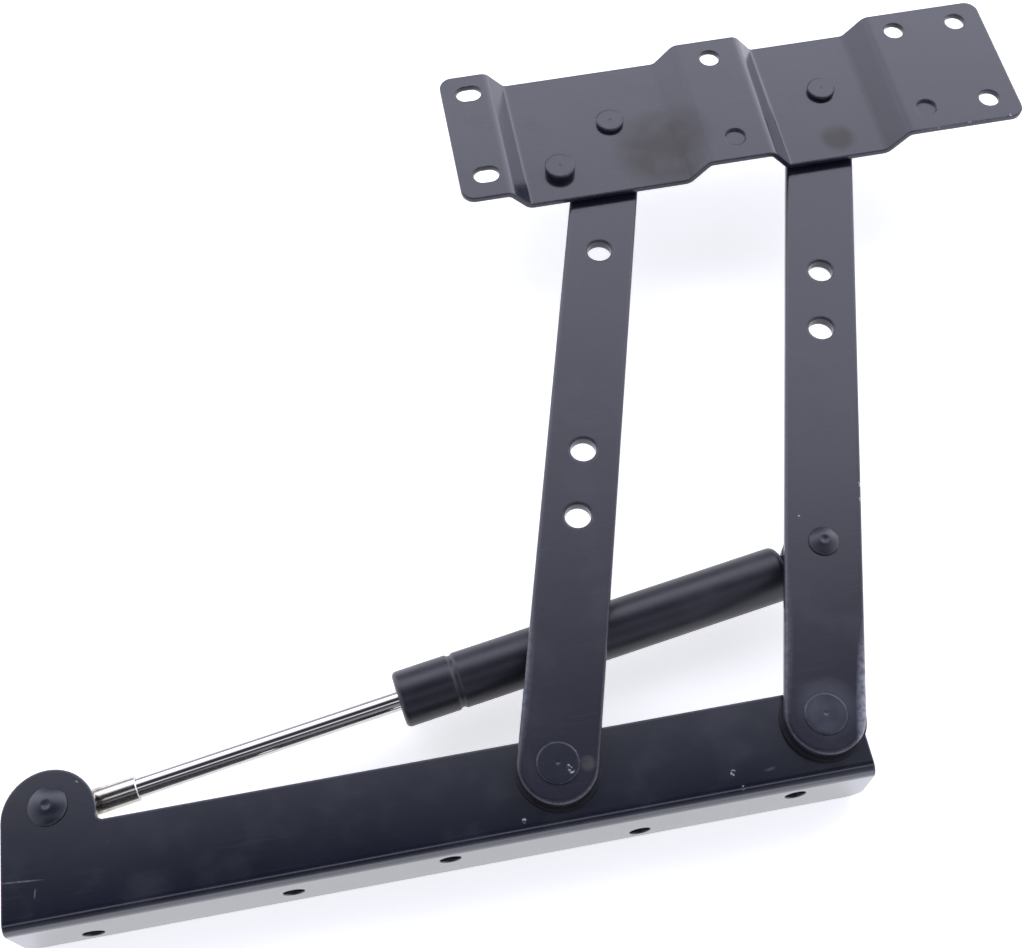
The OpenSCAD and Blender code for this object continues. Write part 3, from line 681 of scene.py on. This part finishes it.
class MECHANISM_OT_washers(bpy.types.Operator):
    """Finish the four nylon washers between the arms and the sheet parts"""

    bl_idname = "mechanism.washers"
    bl_label = "Pivot washers"

    def execute(self, context):
        finishes, _ = settings(context)
        # Black nylon 6, moulded: a soft gloss and a fine grain of 0.3 mm, drawn at 0.6 mm so that it shows.
        material = moulded("black nylon", finishes.nylon, roughness=0.42, grain=0.6)
        names = ["left_base_washer", "right_base_washer", "left_plate_washer", "right_plate_washer"]
        dress(names, material)
        return {"FINISHED"}


class MECHANISM_OT_spring_tube(bpy.types.Operator):
    """Finish the gas spring's tube and its eye, and lay the weld between them"""

    bl_idname = "mechanism.spring_tube"
    bl_label = "Gas spring tube"

    bead_radius: length("Weld bead", "Radius of the weld bead between tube and eye", 1.3)
    ripples: bpy.props.IntProperty(
        name="Ripples", description="Ripples round the weld bead", default=26, min=8
    )

    def execute(self, context):
        finishes, wear = settings(context)
        # Two-part enamel on drawn tube: black and satin, with long soft lights along it.
        material = enamel(
            "black satin enamel on drawn tube", finishes.tube_enamel, wear, finishes, roughness=0.34, peel=1.4
        )
        dress(["spring_tube", "tube_eye"], material, wear.turned_edge)
        bead = self.weld(context)
        bead.data.materials.append(material)
        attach(bead, "strut_tube")
        return {"FINISHED"}

    def weld(self, context):
        """A rippled bead round the block of the eye, on the tube's closed end."""
        low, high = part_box("tube_eye")
        pin_low, pin_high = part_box("arm_pin")
        pivot = Vector(((pin_low.x + pin_high.x) / 2, (low.y + high.y) / 2, (pin_low.z + pin_high.z) / 2))
        end = pivot - STRUT_LINE * PIVOT_TO_TUBE
        side = Vector((0, 1, 0))
        up = Vector((-STRUT_LINE.z, 0, STRUT_LINE.x))
        wide = (high.y - low.y) / 2 - EYE_BLOCK_CORNER
        tall = EYE_BLOCK_HALF_HEIGHT - EYE_BLOCK_CORNER
        corners = ((wide, tall), (-wide, tall), (-wide, -tall), (wide, -tall))
        rings = len(corners) * BEAD_CORNER_POINTS
        points, faces = [], []
        for i in range(rings):
            # The bead runs a quarter turn round each corner of the block, and straight between them.
            corner, step = divmod(i, BEAD_CORNER_POINTS)
            turn = math.pi / 2 * (corner + step / (BEAD_CORNER_POINTS - 1))
            outwards = side * math.cos(turn) + up * math.sin(turn)
            across, above = corners[corner]
            middle = end + side * across + up * above + outwards * EYE_BLOCK_CORNER
            radius = self.bead_radius * (1 + 0.12 * math.sin(2 * math.pi * self.ripples * i / rings))
            ring, following = i * BEAD_SIDES, (i + 1) % rings * BEAD_SIDES
            for j in range(BEAD_SIDES):
                angle = 2 * math.pi * j / BEAD_SIDES
                points.append(middle + radius * (outwards * math.cos(angle) + STRUT_LINE * math.sin(angle)))
                k = (j + 1) % BEAD_SIDES
                faces.append((ring + j, ring + k, following + k, following + j))
        mesh = bpy.data.meshes.new("eye_weld")
        mesh.from_pydata(points, [], faces)
        mesh.polygons.foreach_set("use_smooth", [True] * len(mesh.polygons))
        bead = bpy.data.objects.new("eye_weld", mesh)
        context.scene.collection.objects.link(bead)
        return bead


class MECHANISM_OT_piston_rod(bpy.types.Operator):
    """Finish the piston rod in polished hard chrome"""

    bl_idname = "mechanism.piston_rod"
    bl_label = "Piston rod"

    def execute(self, context):
        finishes, _ = settings(context)
        # Hard chrome, ground and polished: a mirror that shows the dark rail and the white table as bands.
        material = plated("polished hard chrome", finishes.chrome, roughness=0.06, turning=0.4)
        dress(["piston_rod"], material)
        return {"FINISHED"}


class MECHANISM_OT_rod_end(bpy.types.Operator):
    """Finish the rod end and the eye's bush in warm nickel"""

    bl_idname = "mechanism.rod_end"
    bl_label = "Rod end and bush"

    def execute(self, context):
        finishes, _ = settings(context)
        # Nickel plating on turned steel, stained brown near the ear by flux and handling.
        material = plated(
            "nickel plating on turned steel", finishes.nickel, roughness=0.14, turning=0.5,
            stain=finishes.nickel_stain, reach=(14.0, 22.0),
        )
        dress(["rod_end", "eye_bush"], material)
        return {"FINISHED"}


class MECHANISM_OT_spacers(bpy.types.Operator):
    """Finish the spacers and the back washer in bright zinc"""

    bl_idname = "mechanism.spacers"
    bl_label = "Spacers"

    def execute(self, context):
        finishes, _ = settings(context)
        # Bright zinc on turned steel: pale, slightly cloudy and half dull.
        material = plated("bright zinc on turned steel", finishes.zinc, roughness=0.32, turning=0.6)
        dress(["ear_spacer", "ear_washer", "arm_pin_spacer"], material)
        return {"FINISHED"}


class MECHANISM_OT_spring_inside(bpy.types.Operator):
    """Finish the parts inside the gas spring"""

    bl_idname = "mechanism.spring_inside"
    bl_label = "Inside of the gas spring"

    def execute(self, context):
        finishes, _ = settings(context)
        # Turned steel that runs in oil: bright and smooth.
        steel = plated("turned steel in oil", finishes.zinc, roughness=0.25, turning=0.5)
        dress(["piston", "rod_guide"], steel)
        # Nitrile rubber: nearly black and dull, with a grey bloom.
        rubber = moulded("black nitrile rubber", finishes.rubber, roughness=0.55, grain=0.5)
        dress(["piston_ring", "rod_seal"], rubber)
        return {"FINISHED"}


OPERATORS = (
    MECHANISM_OT_camera,
    MECHANISM_OT_stage,
    MECHANISM_OT_rail,
    MECHANISM_OT_arms,
    MECHANISM_OT_plate,
    MECHANISM_OT_rivets,
    MECHANISM_OT_washers,
    MECHANISM_OT_spring_tube,
    MECHANISM_OT_piston_rod,
    MECHANISM_OT_rod_end,
    MECHANISM_OT_spacers,
    MECHANISM_OT_spring_inside,
)


class MECHANISM_PT_panel(bpy.types.Panel):
    """The operators and settings of the mechanism's looks"""

    bl_idname = "MECHANISM_PT_panel"
    bl_label = "Mechanism"
    bl_space_type = "VIEW_3D"
    bl_region_type = "UI"
    bl_category = "Mechanism"

    def draw(self, context):
        for operator in OPERATORS:
            self.layout.operator(operator.bl_idname)
        for holder in GROUPS:
            group = getattr(context.scene, holder)
            box = self.layout.box()
            for name in group.bl_rna.properties.keys():
                if name not in ("rna_type", "name"):
                    box.prop(group, name)


GROUPS = {
    "mechanism_camera": MechanismCamera,
    "mechanism_stage": MechanismStage,
    "mechanism_finishes": MechanismFinishes,
    "mechanism_wear": MechanismWear,
}


def register():
    """Registers the settings, the operators and the panel."""
    for cls in (*GROUPS.values(), *OPERATORS, MECHANISM_PT_panel):
        bpy.utils.register_class(cls)
    for name, group in GROUPS.items():
        setattr(bpy.types.Scene, name, bpy.props.PointerProperty(type=group))


def unregister():
    """Takes the settings, the operators and the panel out again."""
    for name in GROUPS:
        delattr(bpy.types.Scene, name)
    for cls in reversed((*GROUPS.values(), *OPERATORS, MECHANISM_PT_panel)):
        bpy.utils.unregister_class(cls)


def main():
    register()
    for operator in OPERATORS:
        family, name = operator.bl_idname.split(".")
        getattr(getattr(bpy.ops, family), name)()


if __name__ == "__main__":
    main()
